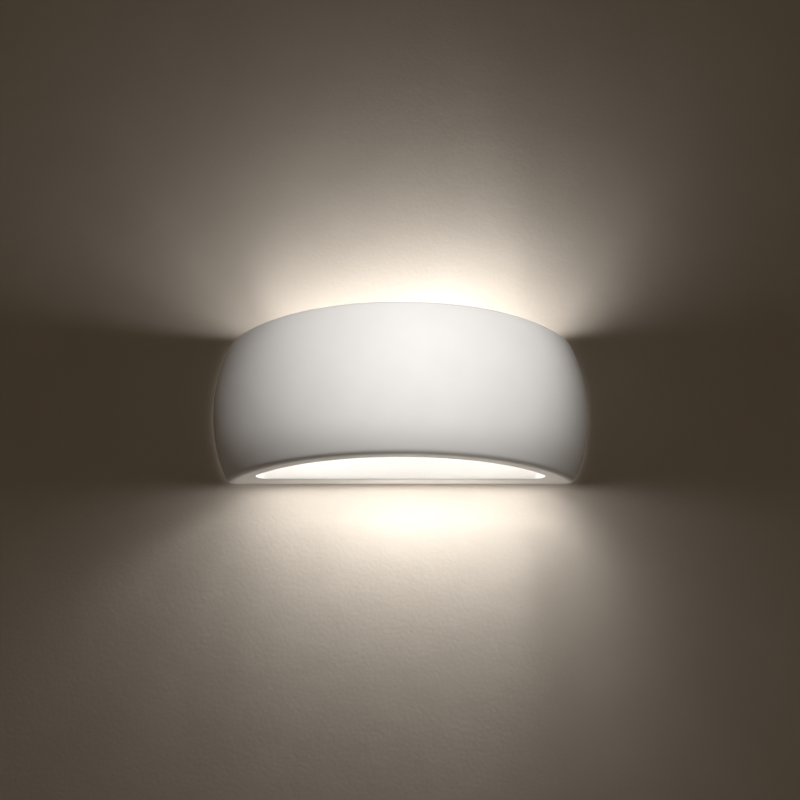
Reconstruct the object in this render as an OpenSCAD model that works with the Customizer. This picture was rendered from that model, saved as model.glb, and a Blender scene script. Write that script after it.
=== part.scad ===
// Flush mount wall sconce: a thick ceramic half-barrel, open above and below, on a steel wall bar.
// Millimetres. The wall is the plane y = 0, the front faces -Y, +Z is up and +X is to the right.
// The origin lies on the wall, midway between the two slots of the wall bar.

/* [Ceramic body] */
// Width across the belly, over the rounded upright edges
body_w = 320; // [312:2:350]
// Height from the lower rim to the upper rim
body_h = 126; // [118:1:150]
// How far the belly stands out from the wall
body_d = 116; // [112:1:130]
// How far both rims are drawn in from the belly
belly = 13.5; // [8:0.5:20]
// Thickness of the curved front wall
front_wall = 12; // [8:0.5:14]
// Thickness of the flat back wall
back_wall = 16; // [14:0.5:19]
// Rounding of the outer edge of both rims
rim_round = 4; // [1:0.5:5]
// Rounding of the two upright edges against the wall
corner_round = 6; // [3:0.5:8]
// Fillet in the two upright inner corners
inner_round = 9; // [4:0.5:12]
// Rounding of the level edges of the back wall, against the wall
back_edge_round = 2; // [0.5:0.5:3]
// Hole in the back wall for the supply cable
cable_hole_d = 30; // [24:1:40]
// Holes in the back wall for the two studs
stud_hole_d = 7; // [6:0.5:8]

/* [Wall bar] */
// Length of the bar over its round ends
bar_len = 176; // [168:2:190]
// Height of the bar's arms
bar_h = 24; // [20:1:30]
// Thickness of the pressed steel
bar_t = 2; // [1.5:0.5:3]
// Diameter of the bar's round middle
bar_hub_d = 46; // [40:1:54]
// Cable hole in the middle of the bar
bar_cable_d = 20; // [16:1:24]
// Distance between the middles of the two screw slots
slot_spacing = 96; // [90:2:104]
// Length of a screw slot, end to end
slot_len = 14; // [10:1:18]
// Width of a screw slot
slot_w = 5; // [4:0.5:6]
// Room in front of the bar for the heads of the wall screws
head_room = 4; // [3:0.5:5]
// Clearance between the bar's edge and the channel in the body
bar_gap = 1.5; // [1:0.5:3]

/* [Studs and clamp nuts] */
// Distance between the two studs
stud_spacing = 140; // [132:2:146]
// Thread diameter of the studs
stud_d = 4; // [4:0.5:5]
// Diameter of the stud's head, set flush in the back of the bar
stud_head_d = 7.5; // [7:0.5:9]
// Thickness of the stud's head
stud_head_t = 1; // [0.8:0.1:1.2]
// Length of thread that shows in front of each nut
stud_end = 2; // [1:0.5:4]
// Diameter of the rubber washers between bracket and body
cushion_d = 16; // [14:1:18]
// Thickness of the rubber washers
cushion_t = 1.5; // [1:0.5:3]
// Diameter of the steel washers under the nuts
washer_d = 12; // [10:1:14]
// Thickness of the steel washers
washer_t = 1; // [0.8:0.1:1.5]
// Diameter of the knurled nuts
nut_d = 12; // [10:0.5:13]
// Height of the knurled nuts
nut_h = 8; // [5:0.5:9]
// Number of knurls round each nut
knurls = 24; // [16:1:30]

/* [Bracket] */
// Thickness of the folded steel sheet
sheet_t = 2; // [1.5:0.5:2.5]
// Height of the bracket's strip and width of its arm
strip_h = 26; // [22:1:30]
// Length of the strip beyond each stud
strip_end = 12; // [11:0.5:16]
// Inner radius of the fold
fold_r = 2; // [1:0.5:3]
// Width of the tab under the terminal block
tab_w = 34; // [28:1:44]
// Height of the tab above the terminal block
tab_over = 3; // [2:0.5:5]
// Rounding of the bracket's corners
bracket_corner = 4; // [2:0.5:6]
// Hole in the strip for the cable grommet
grommet_hole_d = 16; // [14:0.5:18]
// Diameter of the grommet's two lips
grommet_d = 21; // [20:0.5:24]
// Thickness of each lip
grommet_lip = 1.4; // [1:0.1:1.4]
// Bore of the grommet, for the supply cable
grommet_bore_d = 8; // [6:0.5:10]

/* [Terminal block] */
// Distance between neighbouring poles
pole_pitch = 10; // [9:0.5:12]
// Length of the block along the wires
block_l = 18; // [16:1:22]
// Thickness of the block's body
block_t = 9; // [8:0.5:10]
// Height of the screw towers above the body
tower_h = 4; // [2:0.5:5]
// Diameter of a screw tower
tower_d = 6.4; // [6:0.2:7]
// Height of the lowest edge of the block above the lamp's axis
block_z = 19; // [17:0.5:22]
// Outer diameter of the brass sleeves
sleeve_d = 5; // [4.5:0.1:5.2]
// Bore of the brass sleeves
sleeve_bore_d = 3; // [2.8:0.1:3.2]
// Diameter of the clamp screws
clamp_screw_d = 2.6; // [2:0.1:3]
// Diameter of the two screws that hold the block
block_screw_d = 3; // [2.5:0.5:3]

/* [Earth connection] */
// Distance of the earth screw to the left of the middle
earth_x = 36; // [34:1:42]
// Thread diameter of the earth screw
earth_d = 4; // [3:0.5:4]
// Diameter of the earth screw's head
earth_head_d = 8; // [7:0.5:9]
// Thickness of the toothed washer
tooth_washer_t = 0.6; // [0.5:0.1:1]
// Diameter of the ring terminal
ring_d = 8; // [7.5:0.5:9]
// Thickness of the ring terminal
ring_t = 0.8; // [0.6:0.1:1]

/* [Lampholder] */
// Outer diameter of the holder
holder_d = 40; // [38:1:42]
// Length of the holder from the arm to its mouth
holder_l = 55; // [53:0.5:58]
// Length of the cap at the arm
cap_l = 24; // [22:0.5:26]
// Wall of the cap
cap_wall = 2.2; // [1.8:0.1:2.6]
// Rounding of the cap's closed end
cap_round = 8; // [5:0.5:9]
// Length of the skirt's straight band in front of the cap
band_l = 8; // [6:0.5:10]
// Diameter of the skirt at its mouth
mouth_d = 36; // [34:0.5:37]
// Least space between the cap and the front wall
holder_gap = 4.5; // [3:0.5:6]
// Thread diameter of the hollow nipple
nipple_d = 10; // [9:0.5:11]
// Bore of the hollow nipple
nipple_bore_d = 8; // [7:0.5:8.5]
// Width over the flats of the nipple's nut
nipple_nut_af = 14; // [13:0.5:17]
// Thickness of the nipple's nut
nipple_nut_t = 3; // [2.5:0.5:4]
// Thickness of the spring washer under that nut
spring_washer_t = 1; // [0.8:0.1:1.5]
// Depth of thread in the cap
nipple_grip = 7; // [5:0.5:7.5]
// Thickness of the contact strips
contact_t = 0.5; // [0.4:0.1:0.6]
// Width of the contact strips
contact_w = 5; // [4:0.5:6]
// Outer diameter of the bulb's thread, which the holder's thread follows
thread_d = 26.1; // [25.6:0.1:26.6]
// Clearance round the bulb's thread
thread_gap = 0.3; // [0.2:0.05:0.5]
// Wall of both pressed thread shells
shell_t = 0.4; // [0.3:0.05:0.5]

/* [Bulb] */
// Diameter of the globe
bulb_d = 60; // [55:1:63]
// Length from the contact to the top of the globe
bulb_l = 108; // [104:1:114]
// Length of the screw cap with its contact
screw_cap_l = 27; // [26:0.5:28]
// Depth of the housing between screw cap and globe
housing_l = 33; // [30:0.5:36]
// Wall of the opal globe
globe_wall = 1.2; // [1:0.1:2]
// Wall of the housing
housing_wall = 2; // [1.5:0.1:3]
// Length of the housing's spigot in the screw cap
spigot_l = 8; // [6:0.5:10]
// Depth of the light board below the globe's rim
board_sink = 5; // [4:0.5:6]
// Wall of the housing round the light board
board_wall = 0.7; // [0.5:0.1:1]
// Number of light chips on the board
chips = 12; // [6:1:16]

/* [Wires] */
// Outer diameter of the wires
wire_d = 2.2; // [1.8:0.1:2.4]

/* [Hidden] */
$fn = 96;

// Clearance between a pin and its hole, how far a cut runs past a face, and the slight angle at
// which a rounding meets the faces that it joins, given as the share of its radius that is sunk
fit_gap = 0.1;
past = 1;
sunk = cos(8);

// The body turns about an upright axis behind the wall. Its upright section is one arc.
half_h = body_h / 2;
edge_x = body_w / 2 - corner_round;
edge_d = body_d - corner_round;
axis_y = (edge_x ^ 2 - edge_d ^ 2 + corner_round ^ 2) / (2 * (edge_d - corner_round));
plan_r = axis_y + body_d;
arc_r = (half_h ^ 2 + belly ^ 2) / (2 * belly);
arc_x = plan_r - arc_r;

// Depths from the wall, front to back along the studs
channel_d = bar_t + head_room;
strip_back = back_wall + cushion_t;
strip_front = strip_back + sheet_t;
nut_back = strip_front + washer_t;
stud_len = nut_back + nut_h + stud_end;
stud_x = stud_spacing / 2;
stud_r = stud_d / 2;

// The arm stands out from the left end of the strip and carries the holder on the lamp's axis,
// as far forward as the front wall leaves room for the holder's cap, in whole millimetres
arm_x = -(stud_x + strip_end + sheet_t);
fold_outer = fold_r + sheet_t;
arm_r = strip_h / 2;
holder_x = arm_x + sheet_t;
wall_by_cap = sqrt((plan_r - front_wall) ^ 2 - (holder_x + cap_round) ^ 2) - axis_y;
lamp_y = -floor(wall_by_cap - holder_gap - holder_d / 2);

// Holder, measured along the lamp's axis from the arm
holder_r = holder_d / 2;
cap_bore_r = holder_r - cap_wall;
ledge_r = cap_bore_r - 1.4;
boss_r = nipple_d / 2 + 3;
chamber_back = 3;
pillar_back = 8;
insert_back = 14;
flange_back = 16;
flange_front = 20;
insert_front = 26;
shell_bore_r = thread_d / 2 + thread_gap;
shell_r = shell_bore_r + shell_t;
skirt_bore_r = shell_r + 0.3;
insert_r = skirt_bore_r + 1.5;
tip_x = 28;
lip_bore_r = 10;

// Contact strips below and above the axis, and the brass pillar beyond each
strip_z = [-8.5, 10.4];
pillar_w = 6;
pillar_h = 4;
pillar_x = (pillar_back + insert_back) / 2;
pillar_bore_r = wire_d / 2 + 0.2;
screw_r = 1.5;

// Bulb, measured along its axis from the contact
bulb_x = holder_x + tip_x;
bulb_r = bulb_d / 2;
thread_r = thread_d / 2;
contact_l = 2;
insulator_l = 4.5;
cap_shoulder = 9;
globe_u = bulb_l - bulb_r;
rim_u = screw_cap_l + housing_l;
globe_rim_r = sqrt(bulb_r ^ 2 - (globe_u - rim_u) ^ 2);
neck_r = thread_r + 0.5;
housing_rim_r = globe_rim_r + 0.6;
flare_r = ((housing_rim_r - neck_r) ^ 2 + housing_l ^ 2) / (2 * (housing_rim_r - neck_r));
board_t = 1.6;
board_u = rim_u - board_sink;
board_seat_r = neck_r + flare_r - sqrt(flare_r ^ 2 - (board_u - screw_cap_l) ^ 2) - board_wall;
board_r = board_seat_r - fit_gap;

// Terminal block on its tab
poles = 3;
block_h = poles * pole_pitch;
block_mid_z = block_z + block_h / 2;
wire_depth = strip_front + block_t / 2;
tab_top = block_z + block_h + tab_over;
clamp_x = block_l / 4;
tower_top = strip_front + block_t + tower_h;
barrel_depth = strip_front + 2.2;

// Wire routes: points chosen by hand, each measured from the end of the wire that it follows, which
// is a pole of the terminal block, the lamp's axis at the arm, or the barrel of the ring terminal
function pole_z(i) = block_z + (i + 0.5) * pole_pitch;
function from_pole(i, points) = [for (p = points) p + [0, -wire_depth, pole_z(i)]];
function from_holder(points) = [for (p = points) p + [holder_x, lamp_y, 0]];
function from_barrel(points) = [for (p = points) p + [-earth_x, -barrel_depth, 0]];
line_route = concat(
  from_pole(2, [[-3, 0, 0], [-14, 0, 0], [-32, -1, -1], [-60, -3, -6]]),
  from_holder([[-2, 28, 28], [-16, 17, 16], [-19, 7, 6], [-15, 0.5, 1.5], [-8, 0, 1.4], [6, 0, 1.4],
               [10, 0, 2.8], [11, 0, 6], [11, 0, 14]]));
neutral_route = concat(
  from_pole(1, [[-3, 0, 0], [-14, 0, 0], [-32, -0.5, -1], [-60, -3, -5]]),
  from_holder([[-2, 28, 20], [-13, 19, 9], [-16, 9, 1], [-13, 1.5, -1.5], [-7, 0, -1.4],
               [6, 0, -1.4], [10, 0, -2.8], [11, 0, -6], [11, 0, -12]]));
earth_route = concat(
  from_pole(0, [[-3, 0, 0], [-11, 0, 0], [-16, 0, -3], [-17, 0.5, -10]]),
  from_barrel([[19, -0.8, 7], [16, -0.1, 2], [11, 0, 0], [7, 0, 0]]));

// Turns children so that their Z runs out of the wall, from a given depth
module from_wall(depth) {
  translate([0, -depth, 0]) rotate([90, 0, 0]) children();
}

// Turns children so that their Z runs along the lamp's axis, from a given x
module on_lamp_axis(x) {
  translate([x, lamp_y, 0]) rotate([0, 90, 0]) children();
}

// Flat ring
module ring(r_out, r_in, t) {
  difference() {
    cylinder(h = t, r = r_out);
    translate([0, 0, -past]) cylinder(h = t + 2 * past, r = r_in);
  }
}

// Level slot with round ends, by its length over the ends
module slot_shape(length, width) {
  square([length - width, width], center = true);
  for (side = [-1, 1]) translate([side * (length - width) / 2, 0]) circle(d = width);
}

// The body's half section without its rims' roundings, drawn in by an inset
module arc_section(inset, height) {
  intersection() {
    translate([arc_x, 0]) circle(arc_r - inset, $fn = 180);
    translate([0, -height / 2]) square([plan_r, height]);
  }
}

// What the rounding takes off the upper rim's outer edge
module rim_cut() {
  mid_z = half_h - sunk * rim_round;
  mid_x = arc_x + sqrt((arc_r - sunk * rim_round) ^ 2 - mid_z ^ 2);
  lean = atan2(mid_z, mid_x - arc_x);
  reach = rim_round + 6;
  difference() {
    polygon([[mid_x, mid_z], [mid_x, half_h + past], [plan_r + past, half_h + past],
             [mid_x + reach * cos(lean), mid_z + reach * sin(lean)]]);
    translate([mid_x, mid_z]) circle(rim_round);
  }
}

// What the rounding takes off the upright edge where a barrel surface meets a plane at a depth
module upright_cut(inset, depth, round) {
  plane = axis_y + depth;
  surface_r = plan_r - inset;
  mid_w = sqrt(surface_r ^ 2 - plane ^ 2);
  rim_r = arc_x + sqrt((arc_r - inset) ^ 2 - half_h ^ 2);
  drop = mid_w - sqrt(rim_r ^ 2 - plane ^ 2);
  ring_r = (half_h ^ 2 + drop ^ 2) / (2 * drop);
  ring_x = mid_w - ring_r;
  under = sunk * round;
  centre_x = sqrt((surface_r - under) ^ 2 - (plane + under) ^ 2);
  lean = atan2(plane + under, centre_x);
  reach = round + 8;
  sweep = asin((half_h + 3) / ring_r);
  centre = [centre_x - ring_x, -under];
  translate([ring_x, -depth, 0]) rotate([-90, 0, 0]) rotate([0, 0, -sweep])
    rotate_extrude(angle = 2 * sweep, $fn = 180) difference() {
      polygon([centre, [centre[0], past], [mid_w - ring_x + 6, past],
               centre + reach * [cos(lean), -sin(lean)]]);
      translate(centre) circle(round);
    }
}

// The same on both sides
module upright_cuts(inset, depth, round) {
  upright_cut(inset, depth, round);
  mirror([1, 0, 0]) upright_cut(inset, depth, round);
}

// What the rounding takes off the upper back edge
module back_edge_cut() {
  under = sunk * back_edge_round;
  translate([-body_w / 2 - past, -under, half_h - under]) rotate([90, 0, 90])
    linear_extrude(body_w + 2 * past) difference() {
      square(under + past);
      circle(back_edge_round);
    }
}

module bar_outline(grow) {
  slot_shape(bar_len + 2 * grow, bar_h + 2 * grow);
  circle(d = bar_hub_d + 2 * grow);
}

// The space inside the front wall and in front of the back wall
module body_cavity() {
  difference() {
    intersection() {
      translate([0, axis_y, 0]) rotate_extrude($fn = 180) arc_section(front_wall, body_h + 2 * past);
      translate([-body_w / 2, -body_d, -body_h])
        cube([body_w, body_d - back_wall, 2 * body_h]);
    }
    upright_cuts(front_wall, back_wall, inner_round);
  }
}

module ceramic_body() {
  color("whitesmoke") difference() {
    intersection() {
      translate([0, axis_y, 0]) rotate_extrude($fn = 180) difference() {
        arc_section(0, body_h);
        rim_cut();
        mirror([0, 1]) rim_cut();
      }
      translate([-body_w, -body_d - past, -body_h]) cube([2 * body_w, body_d + past, 2 * body_h]);
    }
    body_cavity();
    upright_cuts(0, 0, corner_round);
    back_edge_cut();
    mirror([0, 0, 1]) back_edge_cut();
    from_wall(-past) linear_extrude(channel_d + past) bar_outline(bar_gap);
    from_wall(0) cylinder(h = back_wall + past, d = cable_hole_d);
    for (side = [-1, 1]) translate([side * stud_x, 0, 0]) from_wall(0)
      cylinder(h = back_wall + past, d = stud_hole_d);
  }
}

module wall_bar() {
  color("silver") difference() {
    from_wall(0) linear_extrude(bar_t) bar_outline(0);
    from_wall(-past) {
      cylinder(h = bar_t + 2 * past, d = bar_cable_d);
      for (side = [-1, 1]) {
        translate([side * slot_spacing / 2, 0, 0]) linear_extrude(bar_t + 2 * past)
          slot_shape(slot_len, slot_w);
        translate([side * stud_x, 0, 0]) {
          cylinder(h = bar_t + 2 * past, r = stud_r + fit_gap);
          cylinder(h = past + stud_head_t, r = stud_head_d / 2 + fit_gap);
        }
      }
    }
  }
}

// A stud's flush head, its shank and its chamfered end
module wall_bar_studs() {
  chamfer = 0.6;
  color("lightsteelblue") for (side = [-1, 1]) translate([side * stud_x, 0, 0]) from_wall(0) {
    cylinder(h = stud_head_t, d = stud_head_d);
    cylinder(h = stud_len - chamfer, d = stud_d);
    translate([0, 0, stud_len - chamfer]) cylinder(h = chamfer, r1 = stud_r, r2 = stud_r - chamfer);
  }
}

module cushion_washers() {
  color("dimgray") for (side = [-1, 1]) translate([side * stud_x, 0, 0]) from_wall(back_wall)
    ring(cushion_d / 2, stud_r + fit_gap, cushion_t);
}

// Strip against the body, tab for the terminal block, fold, and arm for the holder
module mounting_bracket() {
  corner = bracket_corner;
  right_end = stud_x + strip_end;
  left_end = arm_x + fold_outer;
  color("gainsboro") {
    difference() {
      from_wall(strip_back) linear_extrude(sheet_t) {
        translate([left_end, -strip_h / 2]) square([right_end - corner - left_end, strip_h]);
        translate([0, -strip_h / 2 + corner]) square([right_end, strip_h - 2 * corner]);
        for (side = [-1, 1])
          translate([right_end - corner, side * (strip_h / 2 - corner)]) circle(corner);
        translate([-tab_w / 2, 0]) square([tab_w, tab_top - corner]);
        translate([-tab_w / 2 + corner, 0]) square([tab_w - 2 * corner, tab_top]);
        for (side = [-1, 1])
          translate([side * (tab_w / 2 - corner), tab_top - corner]) circle(corner);
      }
      from_wall(strip_back - past) {
        for (side = [-1, 1]) translate([side * stud_x, 0, 0])
          cylinder(h = sheet_t + 2 * past, r = stud_r + 0.25);
        cylinder(h = sheet_t + 2 * past, d = grommet_hole_d);
        translate([-earth_x, 0, 0]) cylinder(h = sheet_t + 2 * past, r = earth_d / 2 + fit_gap);
        for (side = [-1, 1]) translate([0, block_mid_z + side * pole_pitch / 2, 0])
          cylinder(h = sheet_t + 2 * past, r = block_screw_d / 2 + fit_gap);
      }
    }
    translate([left_end, -strip_front - fold_r, -strip_h / 2]) rotate([0, 0, 90])
      rotate_extrude(angle = 90) translate([fold_r, 0]) square([sheet_t, strip_h]);
    difference() {
      translate([arm_x, 0, 0]) rotate([90, 0, 90]) linear_extrude(sheet_t) {
        translate([lamp_y, -arm_r])
          square([-strip_front - fold_r - lamp_y, strip_h]);
        translate([lamp_y, 0]) circle(arm_r);
      }
      on_lamp_axis(arm_x - past) cylinder(h = sheet_t + 2 * past, r = nipple_d / 2 + fit_gap);
    }
  }
}

module clamp_washers() {
  color("silver") for (side = [-1, 1]) translate([side * stud_x, 0, 0]) from_wall(strip_front)
    ring(washer_d / 2, stud_r + 0.15, washer_t);
}

// Knurled thumb nuts with a plain collar towards the washer
module clamp_nuts() {
  collar_h = 2;
  knurl_r = 0.5;
  color("lightgray") for (side = [-1, 1]) translate([side * stud_x, 0, 0]) from_wall(nut_back)
    difference() {
      union() {
        cylinder(h = collar_h, d = nut_d - 2);
        translate([0, 0, collar_h]) cylinder(h = nut_h - collar_h, d = nut_d);
      }
      translate([0, 0, -past]) cylinder(h = nut_h + 2 * past, r = stud_r + fit_gap);
      for (i = [0 : knurls - 1]) rotate([0, 0, i * 360 / knurls])
        translate([nut_d / 2, 0, collar_h - past]) rotate([0, 0, 45])
          translate([-knurl_r, -knurl_r, 0]) cube([2 * knurl_r, 2 * knurl_r, nut_h + past]);
    }
}

module cable_grommet() {
  grommet_l = sheet_t + 2 * grommet_lip;
  color("black") from_wall(strip_back - grommet_lip) difference() {
    union() {
      cylinder(h = grommet_l, r = grommet_hole_d / 2 - fit_gap);
      cylinder(h = grommet_lip, d = grommet_d);
      translate([0, 0, grommet_l - grommet_lip]) cylinder(h = grommet_lip, d = grommet_d);
    }
    translate([0, 0, -past]) cylinder(h = grommet_l + 2 * past, d = grommet_bore_d);
  }
}

// Puts children on each pole of the terminal block, at the height of the wires
module each_pole() {
  for (i = [0 : poles - 1])
    translate([0, 0, pole_z(i)]) children();
}

// Puts children over each clamp screw of one pole, with Z out of the wall
module each_clamp(depth) {
  for (side = [-1, 1]) translate([side * clamp_x, 0, 0]) from_wall(depth) children();
}

module terminal_block() {
  color("ivory") difference() {
    union() {
      translate([-block_l / 2, -strip_front - block_t, block_z]) cube([block_l, block_t, block_h]);
      each_pole() each_clamp(strip_front) cylinder(h = block_t + tower_h, d = tower_d);
    }
    each_pole() {
      translate([-block_l / 2 - past, -wire_depth, 0]) rotate([0, 90, 0])
        cylinder(h = block_l + 2 * past, r = sleeve_d / 2 + fit_gap);
      each_clamp(wire_depth) cylinder(h = block_t + tower_h, r = clamp_screw_d / 2 + 0.5);
    }
    for (side = [-1, 1]) translate([0, 0, block_mid_z + side * pole_pitch / 2])
      from_wall(strip_front - past)
        cylinder(h = block_t + 2 * past, r = block_screw_d / 2 + fit_gap);
  }
}

module terminal_sleeves() {
  sleeve_l = block_l - 2;
  color("goldenrod") each_pole() difference() {
    translate([-sleeve_l / 2, -wire_depth, 0]) rotate([0, 90, 0])
      cylinder(h = sleeve_l, d = sleeve_d);
    translate([-sleeve_l / 2 - past, -wire_depth, 0]) rotate([0, 90, 0])
      cylinder(h = sleeve_l + 2 * past, d = sleeve_bore_d);
    each_clamp(wire_depth) cylinder(h = block_t, r = clamp_screw_d / 2 + fit_gap);
  }
}

// Slotted grub screws, sunk in their towers, with their tips above the wires
module terminal_clamp_screws() {
  screw_back = wire_depth + sleeve_bore_d / 2;
  screw_l = tower_top - 1.5 - screw_back;
  slot_d = 0.8;
  color("silver") each_pole() each_clamp(screw_back) difference() {
    cylinder(h = screw_l, d = clamp_screw_d);
    translate([0, 0, screw_l - slot_d / 2 + past]) cube([2 * clamp_screw_d, 0.5, slot_d + 2 * past],
                                                        center = true);
  }
}

// A pan head screw with its head's underside at z = 0, its shank down to -shank_l
module pan_screw(thread, head_d, head_h, shank_l) {
  slot = 0.8;
  translate([0, 0, -shank_l]) cylinder(h = shank_l + head_h / 2, d = thread);
  difference() {
    rotate_extrude() intersection() {
      square([head_d / 2, head_h]);
      translate([0, head_h - head_d]) circle(head_d);
    }
    translate([-head_d, -slot / 2, head_h - slot]) cube([2 * head_d, slot, slot + past]);
  }
}

module terminal_fixing_screws() {
  color("silver") for (side = [-1, 1])
    translate([0, 0, block_mid_z + side * pole_pitch / 2]) from_wall(strip_front + block_t)
      pan_screw(block_screw_d, 5, 1.8, block_t + sheet_t);
}

// Ring under the earth screw, with a crimped barrel that points right and holds the wire's end
module earth_ring_terminal() {
  barrel_r = wire_d / 2 + 0.7;
  barrel_l = 6;
  ring_back = strip_front;
  color("darkkhaki") translate([-earth_x, 0, 0]) difference() {
    union() {
      from_wall(ring_back) {
        cylinder(h = ring_t, d = ring_d);
        translate([0, -ring_d / 4, 0]) cube([ring_d / 2 + 1.5, ring_d / 2, ring_t]);
      }
      translate([ring_d / 2 + 1, -barrel_depth, 0]) rotate([0, 90, 0])
        cylinder(h = barrel_l, r = barrel_r);
    }
    from_wall(ring_back - past) cylinder(h = ring_t + 2 * past, r = earth_d / 2 + 0.15);
    translate([ring_d / 2 + 1 - past, -barrel_depth, 0]) rotate([0, 90, 0])
      cylinder(h = barrel_l + 2 * past, r = wire_d / 2 + 0.15);
  }
}

module earth_tooth_washer() {
  teeth = 10;
  washer_r = earth_head_d / 2 - 0.2;
  color("silver") translate([-earth_x, 0, 0]) from_wall(strip_front + ring_t)
    linear_extrude(tooth_washer_t) difference() {
      circle(washer_r);
      circle(earth_d / 2 + 0.15);
      for (i = [0 : teeth - 1]) rotate(i * 360 / teeth) translate([washer_r, 0])
        square([2, 0.9], center = true);
    }
}

module earth_screw() {
  under_head = ring_t + tooth_washer_t;
  color("yellowgreen") translate([-earth_x, 0, 0]) from_wall(strip_front + under_head)
    pan_screw(earth_d, earth_head_d, 2.6, under_head + sheet_t + cushion_t - 0.7);
}

// Hollow threaded nipple: through the arm, from the nut into the cap
module threaded_nipple() {
  outside = spring_washer_t + nipple_nut_t + 2;
  nipple_l = outside + sheet_t + nipple_grip;
  color("silver") on_lamp_axis(arm_x - outside) ring(nipple_d / 2, nipple_bore_d / 2, nipple_l);
}

module nipple_spring_washer() {
  split_w = 0.8;
  color("silver") on_lamp_axis(arm_x - spring_washer_t) difference() {
    ring(nipple_d / 2 + 2, nipple_d / 2 + fit_gap, spring_washer_t);
    translate([nipple_d / 2 + 1, 0, 0]) rotate([30, 0, 0])
      cube([4, split_w, 4 * spring_washer_t], center = true);
  }
}

module nipple_nut() {
  color("silver") on_lamp_axis(arm_x - spring_washer_t - nipple_nut_t) difference() {
    cylinder(h = nipple_nut_t, d = nipple_nut_af / cos(30), $fn = 6);
    translate([0, 0, -past])
      cylinder(h = nipple_nut_t + 2 * past, r = nipple_d / 2 + fit_gap);
  }
}

// Round-backed cap with a threaded boss, and a ledge that the insert's flange rests on
module holder_cap() {
  color("snow") on_lamp_axis(holder_x) difference() {
    rotate_extrude() {
      difference() {
        union() {
          square([holder_r - cap_round, cap_round]);
          translate([holder_r - cap_round, cap_round]) circle(cap_round);
          translate([0, cap_round]) square([holder_r, cap_l - cap_round]);
        }
        translate([0, chamber_back]) square([ledge_r - cap_round + 1, cap_round]);
        translate([ledge_r - cap_round + 1, chamber_back + cap_round - 1]) circle(cap_round - 1);
        translate([0, chamber_back + cap_round - 1])
          square([ledge_r, flange_back - chamber_back - cap_round + 1]);
        translate([0, flange_back - past]) square([ledge_r, 2 * past]);
        translate([0, flange_back]) square([cap_bore_r, cap_l - flange_back + past]);
      }
      translate([0, 1]) square([boss_r, nipple_grip - 1]);
    }
    translate([0, 0, -past]) cylinder(h = nipple_grip + 2 * past, r = nipple_d / 2 + fit_gap);
  }
}

// Porcelain insert: its flange is clamped between cap and skirt, and the strips pass through it
module holder_insert() {
  gap_w = contact_w + 0.4;
  gap_t = contact_t + 0.4;
  color("seashell") difference() {
    on_lamp_axis(holder_x) {
      translate([0, 0, insert_back]) cylinder(h = flange_back - insert_back, r = ledge_r - 0.4);
      translate([0, 0, flange_back]) cylinder(h = flange_front - flange_back, r = cap_bore_r - 0.2);
      translate([0, 0, flange_front])
        cylinder(h = insert_front - flange_front, r = insert_r - 0.2);
    }
    for (z = strip_z)
      translate([holder_x + insert_back - past, lamp_y - gap_w / 2, z - gap_t / 2])
        cube([insert_front - insert_back + 2 * past, gap_w, gap_t]);
  }
}

// Skirt: spigot in the cap, bore round the thread shell, tapered mouth
module holder_skirt() {
  spigot_r = cap_bore_r - 0.2;
  taper_u = cap_l + band_l;
  mouth_r = mouth_d / 2;
  color("snow") on_lamp_axis(holder_x) rotate_extrude() polygon([
    [insert_r, flange_front], [spigot_r, flange_front], [spigot_r, cap_l], [holder_r, cap_l],
    [holder_r, taper_u], [mouth_r, taper_u + 4], [mouth_r, holder_l - 1], [mouth_r - 1, holder_l],
    [skirt_bore_r + 1, holder_l], [skirt_bore_r, holder_l - 1], [skirt_bore_r, insert_front + 0.2],
    [insert_r, insert_front + 0.2]]);
}

// Pressed shell that takes the bulb's thread, with a lip on the insert's face
module holder_thread_shell() {
  color("goldenrod") on_lamp_axis(holder_x) rotate_extrude() polygon([
    [lip_bore_r, insert_front], [shell_r, insert_front], [shell_r, holder_l - 2],
    [shell_bore_r, holder_l - 2], [shell_bore_r, insert_front + shell_t],
    [lip_bore_r, insert_front + shell_t]]);
}

// Places a strip that is drawn as [along the axis, height] and centred across its width
module strip_on_edge() {
  translate([holder_x, lamp_y + contact_w / 2, 0]) rotate([90, 0, 0])
    linear_extrude(contact_w) children();
}

// Springy brass leaf under the bulb's contact, with its tail through the insert to a pillar
module centre_contact() {
  low = strip_z[0] - contact_t / 2;
  high = strip_z[0] + contact_t / 2;
  tip_back = tip_x - fit_gap - contact_t;
  color("goldenrod") difference() {
    strip_on_edge() polygon([
      [pillar_back, low], [insert_front + contact_t, low], [insert_front + contact_t, -5],
      [tip_x - fit_gap, -1], [tip_x - fit_gap, 3], [tip_back, 3], [tip_back, -0.8],
      [insert_front, -4.8], [insert_front, high], [pillar_back, high]]);
    pillar_bores();
  }
}

// Brass strip from its pillar to the back of the thread shell's lip
module side_contact() {
  color("goldenrod") difference() {
    strip_on_edge() translate([pillar_back, strip_z[1] - contact_t / 2])
      square([insert_front - pillar_back, contact_t]);
    pillar_bores();
  }
}

// The bore for a wire, through both pillars and their strips
module pillar_bores() {
  translate([holder_x + pillar_x, lamp_y, -holder_r]) cylinder(h = holder_d, r = pillar_bore_r);
}

// Puts children at the middle of each pillar's back, with Z towards the arm
module each_pillar() {
  for (z = strip_z)
    translate([holder_x + pillar_back, lamp_y, z + sign(z) * (contact_t + pillar_h) / 2])
      rotate([0, -90, 0]) children();
}

// Brass pillars on the insert's back, one beside each strip, bored for wire and clamp screw
module contact_pillars() {
  pillar_l = insert_back - pillar_back;
  color("darkgoldenrod") difference() {
    each_pillar() translate([-pillar_h / 2, -pillar_w / 2, -pillar_l])
      cube([pillar_h, pillar_w, pillar_l]);
    each_pillar() translate([0, 0, -pillar_l / 2]) cylinder(h = pillar_l, r = screw_r + fit_gap);
    pillar_bores();
  }
}

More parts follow.
